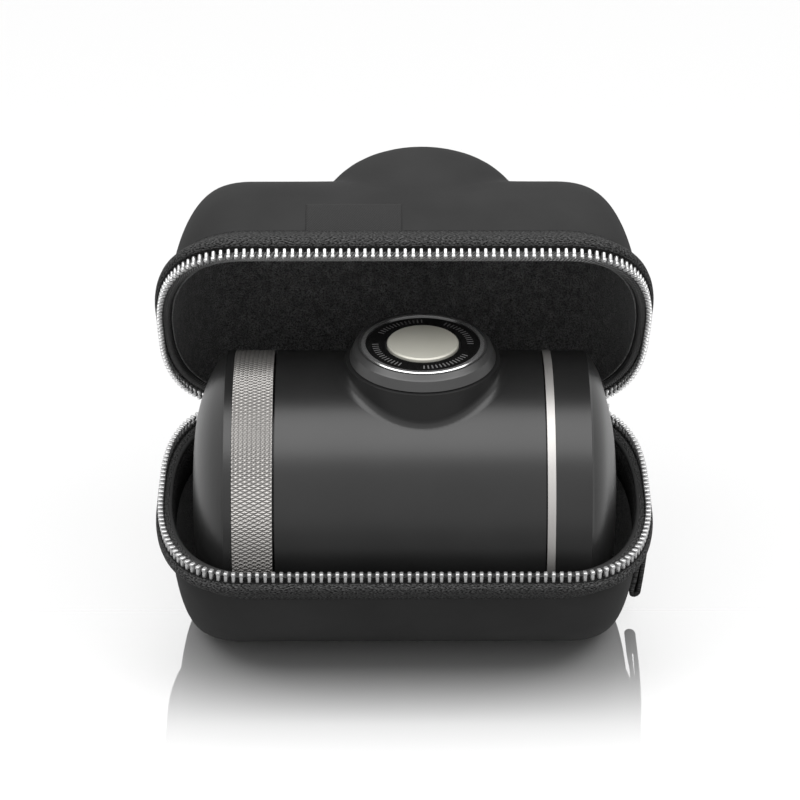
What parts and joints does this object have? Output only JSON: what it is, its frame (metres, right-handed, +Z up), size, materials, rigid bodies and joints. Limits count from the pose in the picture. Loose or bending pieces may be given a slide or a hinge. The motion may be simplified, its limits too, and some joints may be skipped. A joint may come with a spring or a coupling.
{
  "type": "handheld manual espresso maker",
  "caption": "Handheld manual espresso maker, a stubby cylinder with a pump knob on its side, lying in an open hard-shell zip case.",
  "frame": {"origin": "centre of the case's flat foot, on the floor, straight under the middle of the maker", "axes": "+Z up, +X along the maker from its brewing end to its water tank, -Y towards the open side of the case"},
  "size_m": [0.1258, 0.1071, 0.1154],
  "materials": {
    "body_plastic": "satin dark grey coating",
    "inner_plastic": "smooth moulded",
    "knurled_steel": "fine diamond knurl",
    "steel": "satin",
    "knob_metal": "satin dark metallic",
    "polished_metal": "polished",
    "knob_gloss": "gloss black",
    "knob_silver": "fine satin, champagne silver",
    "seal_rubber": "moulded silicone",
    "case_shell": "moulded foam shell with a smooth matt knit face",
    "case_lining": "short brushed fleece",
    "zip_tape": "herringbone woven tape",
    "zip_metal": "polished nickel"
  },
  "bodies": {
    "case_base": {"base_shell": "case_shell", "base_lining": "case_lining", "base_tape": "zip_tape", "base_teeth": "zip_metal", "base_hinge_leaf": "zip_tape", "carry_loop": "zip_tape"},
    "case_lid": {"lid_shell": "case_shell", "lid_lining": "case_lining", "lid_tape": "zip_tape", "lid_teeth": "zip_metal", "lid_hinge_leaf": "zip_tape", "label_patch": "zip_tape"},
    "slider": {"zip_slider": "zip_metal"},
    "pull": {"zip_pull": "zip_metal"},
    "maker": {"main_body": "body_plastic", "tank_band": "steel", "brew_gasket": "seal_rubber", "shower_screen": "steel", "screen_screw": "steel", "pump_cylinder": "inner_plastic", "flange_screw_1": "steel", "flange_screw_2": "steel", "flange_screw_3": "steel", "gland_ring": "inner_plastic", "inlet_valve": "seal_rubber", "outlet_valve": "seal_rubber", "return_spring": "steel"},
    "pump_rod": {"piston": "inner_plastic", "piston_seal": "seal_rubber", "knob_screw": "steel"},
    "knob": {"knob_cap": "knob_metal", "knob_bezel": "polished_metal", "knob_inlay": "knob_gloss", "knob_disc": "knob_silver"},
    "filter_holder": {"portafilter_ring": "knurled_steel", "filter_basket": "steel"},
    "front_cap": {"protective_cap": "body_plastic", "cap_seal": "seal_rubber"},
    "tank_cover": {"tank_lid": "body_plastic", "vent_valve": "seal_rubber", "tank_gasket": "seal_rubber"}
  },
  "joints": [
    {"name": "lid_hinge", "type": "hinge", "parent": "case_base", "child": "case_lid", "pos_m": [0, 0.04235, 0.03986], "axis": [-1, 0, 0], "range_deg": [-55.2, 40]},
    {"name": "zip_travel", "type": "slide", "parent": "case_base", "child": "slider", "axis": [0.841, -0.541, 0], "range_m": [0, 0.004]},
    {"name": "pull_swing", "type": "hinge", "parent": "slider", "child": "pull", "pos_m": [0.05187, 0.04277, 0.0377], "axis": [0.841, -0.541, 0], "range_deg": [0, 70]},
    {"name": "maker_lift", "type": "slide", "parent": "case_base", "child": "maker", "axis": [0, 0, 1], "range_m": [0, 0.025]},
    {"name": "pump_stroke", "type": "slide", "parent": "maker", "child": "pump_rod", "axis": [0, 0, 1], "range_m": [0, 0.02], "deforming": ["return_spring"]},
    {"name": "knob_turn", "type": "hinge", "parent": "pump_rod", "child": "knob", "pos_m": [0.0045, 0, 0.077], "axis": [0, 0, 1], "range_deg": [0, 60]},
    {"name": "filter_holder_turn", "type": "hinge", "parent": "maker", "child": "filter_holder", "pos_m": [-0.0375, 0, 0.0374], "axis": [-1, 0, 0], "range_deg": [0, 120]},
    {"name": "cap_pull", "type": "slide", "parent": "filter_holder", "child": "front_cap", "axis": [-1, 0, 0], "range_m": [0, 0.001]},
    {"name": "tank_lid_turn", "type": "hinge", "parent": "maker", "child": "tank_cover", "pos_m": [0.045, 0, 0.0374], "axis": [1, 0, 0], "range_deg": [0, 270]}
  ]
}
